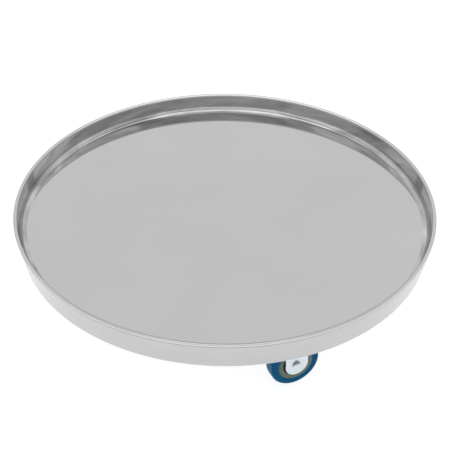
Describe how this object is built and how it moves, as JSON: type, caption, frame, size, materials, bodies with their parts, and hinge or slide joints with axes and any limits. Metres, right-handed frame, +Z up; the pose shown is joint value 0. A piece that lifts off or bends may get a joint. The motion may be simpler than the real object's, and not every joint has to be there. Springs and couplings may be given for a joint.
{
  "type": "rolling oil drain pan",
  "caption": "Shallow round stainless drain pan with a rolled rim and outer skirt band, standing on swivel castors with blue tyres.",
  "frame": {"origin": "on the ground, under the middle of the pan", "axes": "+Z up through the middle of the pan; -Y is the front, where the first castor stands 14.5 degrees towards +X"},
  "size_m": [0.424, 0.424, 0.09],
  "materials": {
    "polished_stainless": "polished",
    "zinc_plate": "bright zinc plate",
    "dark_steel": "plain",
    "grey_nylon": "satin",
    "blue_elastic": "satin"
  },
  "bodies": {
    "pan": {"pan_dish": "polished_stainless", "skirt_band": "polished_stainless", "castor_1_mount_pad": "polished_stainless", "castor_1_swivel_head": "zinc_plate", "castor_1_king_sleeve": "zinc_plate", "castor_1_stud_washer": "zinc_plate", "castor_1_stud_nut": "zinc_plate", "castor_2_mount_pad": "polished_stainless", "castor_2_swivel_head": "zinc_plate", "castor_2_king_sleeve": "zinc_plate", "castor_2_stud_washer": "zinc_plate", "castor_2_stud_nut": "zinc_plate", "castor_3_mount_pad": "polished_stainless", "castor_3_swivel_head": "zinc_plate", "castor_3_king_sleeve": "zinc_plate", "castor_3_stud_washer": "zinc_plate", "castor_3_stud_nut": "zinc_plate", "castor_4_mount_pad": "polished_stainless", "castor_4_swivel_head": "zinc_plate", "castor_4_king_sleeve": "zinc_plate", "castor_4_stud_washer": "zinc_plate", "castor_4_stud_nut": "zinc_plate"},
    "castor_1_swivel": {"castor_1_lower_race": "zinc_plate", "castor_1_ball_ring": "dark_steel", "castor_1_fork": "zinc_plate", "castor_1_axle_bolt": "zinc_plate", "castor_1_axle_nut": "zinc_plate", "castor_1_axle_sleeve": "dark_steel"},
    "castor_1_wheel": {"castor_1_hub": "grey_nylon", "castor_1_tyre": "blue_elastic"},
    "castor_2_swivel": {"castor_2_lower_race": "zinc_plate", "castor_2_ball_ring": "dark_steel", "castor_2_fork": "zinc_plate", "castor_2_axle_bolt": "zinc_plate", "castor_2_axle_nut": "zinc_plate", "castor_2_axle_sleeve": "dark_steel"},
    "castor_2_wheel": {"castor_2_hub": "grey_nylon", "castor_2_tyre": "blue_elastic"},
    "castor_3_swivel": {"castor_3_lower_race": "zinc_plate", "castor_3_ball_ring": "dark_steel", "castor_3_fork": "zinc_plate", "castor_3_axle_bolt": "zinc_plate", "castor_3_axle_nut": "zinc_plate", "castor_3_axle_sleeve": "dark_steel"},
    "castor_3_wheel": {"castor_3_hub": "grey_nylon", "castor_3_tyre": "blue_elastic"},
    "castor_4_swivel": {"castor_4_lower_race": "zinc_plate", "castor_4_ball_ring": "dark_steel", "castor_4_fork": "zinc_plate", "castor_4_axle_bolt": "zinc_plate", "castor_4_axle_nut": "zinc_plate", "castor_4_axle_sleeve": "dark_steel"},
    "castor_4_wheel": {"castor_4_hub": "grey_nylon", "castor_4_tyre": "blue_elastic"}
  },
  "joints": [
    {"name": "castor_1_swivel_turn", "type": "hinge", "parent": "pan", "child": "castor_1_swivel", "pos_m": [0.04369, -0.16894, 0.06], "axis": [0, 0, 1], "continuous": true},
    {"name": "castor_1_wheel_roll", "type": "hinge", "parent": "castor_1_swivel", "child": "castor_1_wheel", "pos_m": [0.06434, -0.15905, 0.025], "axis": [-0.4321, 0.9018, 0], "continuous": true},
    {"name": "castor_2_swivel_turn", "type": "hinge", "parent": "pan", "child": "castor_2_swivel", "pos_m": [0.16894, 0.04369, 0.06], "axis": [0, 0, 1], "continuous": true},
    {"name": "castor_2_wheel_roll", "type": "hinge", "parent": "castor_2_swivel", "child": "castor_2_wheel", "pos_m": [0.1514, 0.05841, 0.025], "axis": [-0.6428, -0.766, 0], "continuous": true},
    {"name": "castor_3_swivel_turn", "type": "hinge", "parent": "pan", "child": "castor_3_swivel", "pos_m": [-0.04369, 0.16894, 0.06], "axis": [0, 0, 1], "continuous": true},
    {"name": "castor_3_wheel_roll", "type": "hinge", "parent": "castor_3_swivel", "child": "castor_3_wheel", "pos_m": [-0.06521, 0.16111, 0.025], "axis": [0.342, -0.9397, 0], "continuous": true},
    {"name": "castor_4_swivel_turn", "type": "hinge", "parent": "pan", "child": "castor_4_swivel", "pos_m": [-0.16894, -0.04369, 0.06], "axis": [0, 0, 1], "continuous": true},
    {"name": "castor_4_wheel_roll", "type": "hinge", "parent": "castor_4_swivel", "child": "castor_4_wheel", "pos_m": [-0.15422, -0.02615, 0.025], "axis": [-0.766, 0.6428, 0], "continuous": true}
  ]
}
